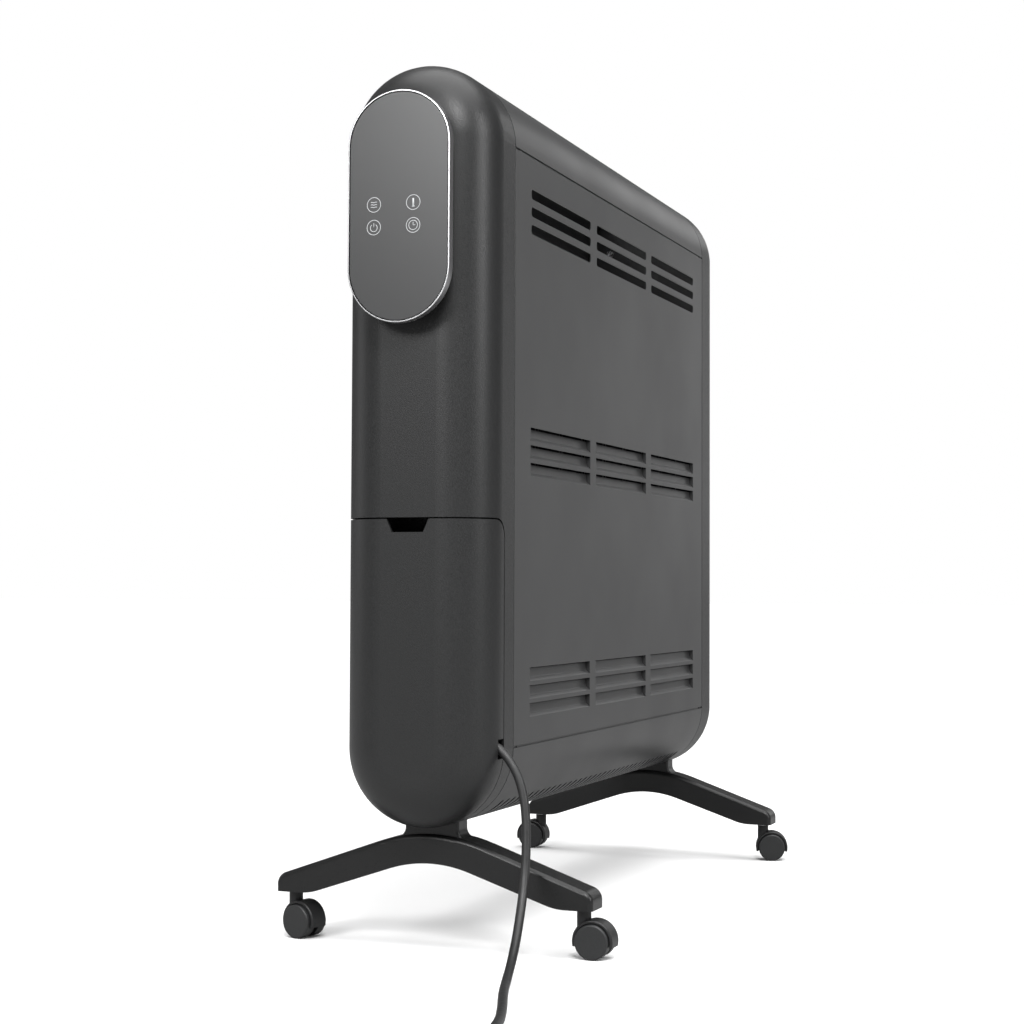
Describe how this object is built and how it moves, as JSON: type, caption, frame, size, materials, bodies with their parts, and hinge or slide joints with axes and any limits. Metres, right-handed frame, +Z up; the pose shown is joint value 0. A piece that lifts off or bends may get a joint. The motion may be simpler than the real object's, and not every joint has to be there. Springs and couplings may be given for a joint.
{
  "type": "oil filled radiator heater",
  "caption": "Slim cabinet oil radiator heater with rounded end caps, louvred sides, touch panel, tilting cord store door and arched feet on twin-wheel casters.",
  "frame": {"origin": "on the floor, in the cabinet's middle plane, midway between the touch panel's face and the rear cap's end", "axes": "+Z up; +Y along the cabinet from the touch panel end to the plain end; +X towards the side where the mains lead comes out"},
  "size_m": [0.3104, 1.1036, 0.7],
  "materials": {
    "cap_plastic": "fine-grained moulded plastic, satin",
    "panel_paint": "dark grey satin powder paint on steel sheet",
    "steel_zinc": "zinc-plated steel",
    "fin_paint": "black heat-resistant paint on pressed steel",
    "thermal_oil": "clear amber thermal oil",
    "element_steel": "dull tubular element steel",
    "ring_silver": "satin silver trim",
    "panel_glass": "dark grey tinted glass, satin",
    "housing_plastic": "black moulded plastic",
    "board_green": "circuit board laminate",
    "spring_steel": "bright spring wire",
    "terminal_white": "natural nylon",
    "cord_rubber": "satin PVC sheath",
    "wire_sleeve": "glass-fibre sleeving",
    "foot_plastic": "black glass-filled nylon, satin",
    "hood_plastic": "black moulded nylon",
    "wheel_plastic": "dark grey moulded nylon",
    "brass": "plain brass"
  },
  "bodies": {
    "cabinet": {"front_cap": "cap_plastic", "rear_cap": "cap_plastic", "storage_tray": "housing_plastic", "side_panel_right": "panel_paint", "side_panel_left": "panel_paint", "top_cover": "panel_paint", "bottom_cover": "panel_paint", "door_hinge_pin": "steel_zinc", "cap_screws": "steel_zinc", "control_housing": "housing_plastic", "control_ring": "ring_silver", "control_glass": "panel_glass", "control_board": "board_green", "touch_springs": "spring_steel", "control_screws": "steel_zinc", "base_channel": "steel_zinc", "end_plates": "steel_zinc", "board_carrier": "housing_plastic", "power_board": "board_green", "terminal_box": "housing_plastic", "terminal_block": "terminal_white", "cord_strain_relief": "cord_rubber", "cord_clamp": "terminal_white", "cord_hooks": "housing_plastic", "tilt_switch": "terminal_white", "temperature_probe": "brass", "wiring_loom": "wire_sleeve", "radiator_fins": "fin_paint", "thermal_oil": "thermal_oil", "heating_elements": "element_steel", "element_flange": "steel_zinc", "oil_plug": "steel_zinc", "core_brackets": "steel_zinc", "thermal_cutout": "brass", "foot_front": "foot_plastic", "foot_rear": "foot_plastic", "foot_screws": "steel_zinc", "caster_stems": "steel_zinc", "power_cord": "cord_rubber", "cord_coil": "cord_rubber", "mains_plug": "housing_plastic"},
    "cord_door": {"cord_door": "cap_plastic"},
    "caster_fr_swivel": {"caster_fr_hood": "hood_plastic", "caster_fr_axle": "steel_zinc"},
    "caster_fr_wheel_a": {"caster_fr_wheel_a": "wheel_plastic"},
    "caster_fr_wheel_b": {"caster_fr_wheel_b": "wheel_plastic"},
    "caster_fl_swivel": {"caster_fl_hood": "hood_plastic", "caster_fl_axle": "steel_zinc"},
    "caster_fl_wheel_a": {"caster_fl_wheel_a": "wheel_plastic"},
    "caster_fl_wheel_b": {"caster_fl_wheel_b": "wheel_plastic"},
    "caster_rr_swivel": {"caster_rr_hood": "hood_plastic", "caster_rr_axle": "steel_zinc"},
    "caster_rr_wheel_a": {"caster_rr_wheel_a": "wheel_plastic"},
    "caster_rr_wheel_b": {"caster_rr_wheel_b": "wheel_plastic"},
    "caster_rl_swivel": {"caster_rl_hood": "hood_plastic", "caster_rl_axle": "steel_zinc"},
    "caster_rl_wheel_a": {"caster_rl_wheel_a": "wheel_plastic"},
    "caster_rl_wheel_b": {"caster_rl_wheel_b": "wheel_plastic"}
  },
  "joints": [
    {"name": "cord_door_tilt", "type": "hinge", "parent": "cabinet", "child": "cord_door", "pos_m": [0, -0.293, 0.1002], "axis": [1, 0, 0], "range_deg": [0, 40]},
    {"name": "front_right_swivel", "type": "hinge", "parent": "cabinet", "child": "caster_fr_swivel", "pos_m": [0.1245, -0.2746, 0.03], "axis": [0, 0, 1], "continuous": true},
    {"name": "front_right_roll_a", "type": "hinge", "parent": "caster_fr_swivel", "child": "caster_fr_wheel_a", "pos_m": [0.1335, -0.2746, 0.0136], "axis": [0, 1, 0], "continuous": true},
    {"name": "front_right_roll_b", "type": "hinge", "parent": "caster_fr_swivel", "child": "caster_fr_wheel_b", "pos_m": [0.1335, -0.2746, 0.0136], "axis": [0, 1, 0], "continuous": true},
    {"name": "front_left_swivel", "type": "hinge", "parent": "cabinet", "child": "caster_fl_swivel", "pos_m": [-0.1245, -0.2746, 0.03], "axis": [0, 0, 1], "continuous": true},
    {"name": "front_left_roll_a", "type": "hinge", "parent": "caster_fl_swivel", "child": "caster_fl_wheel_a", "pos_m": [-0.11581, -0.27693, 0.0136], "axis": [0.2588, 0.9659, 0], "continuous": true},
    {"name": "front_left_roll_b", "type": "hinge", "parent": "caster_fl_swivel", "child": "caster_fl_wheel_b", "pos_m": [-0.11581, -0.27693, 0.0136], "axis": [0.2588, 0.9659, 0], "continuous": true},
    {"name": "rear_right_swivel", "type": "hinge", "parent": "cabinet", "child": "caster_rr_swivel", "pos_m": [0.1245, 0.3091, 0.03], "axis": [0, 0, 1], "continuous": true},
    {"name": "rear_right_roll_a", "type": "hinge", "parent": "caster_rr_swivel", "child": "caster_rr_wheel_a", "pos_m": [0.13319, 0.31143, 0.0136], "axis": [-0.2588, 0.9659, 0], "continuous": true},
    {"name": "rear_right_roll_b", "type": "hinge", "parent": "caster_rr_swivel", "child": "caster_rr_wheel_b", "pos_m": [0.13319, 0.31143, 0.0136], "axis": [-0.2588, 0.9659, 0], "continuous": true},
    {"name": "rear_left_swivel", "type": "hinge", "parent": "cabinet", "child": "caster_rl_swivel", "pos_m": [-0.1245, 0.3091, 0.03], "axis": [0, 0, 1], "continuous": true},
    {"name": "rear_left_roll_a", "type": "hinge", "parent": "caster_rl_swivel", "child": "caster_rl_wheel_a", "pos_m": [-0.1335, 0.3091, 0.0136], "axis": [0, -1, 0], "continuous": true},
    {"name": "rear_left_roll_b", "type": "hinge", "parent": "caster_rl_swivel", "child": "caster_rl_wheel_b", "pos_m": [-0.1335, 0.3091, 0.0136], "axis": [0, -1, 0], "continuous": true}
  ]
}
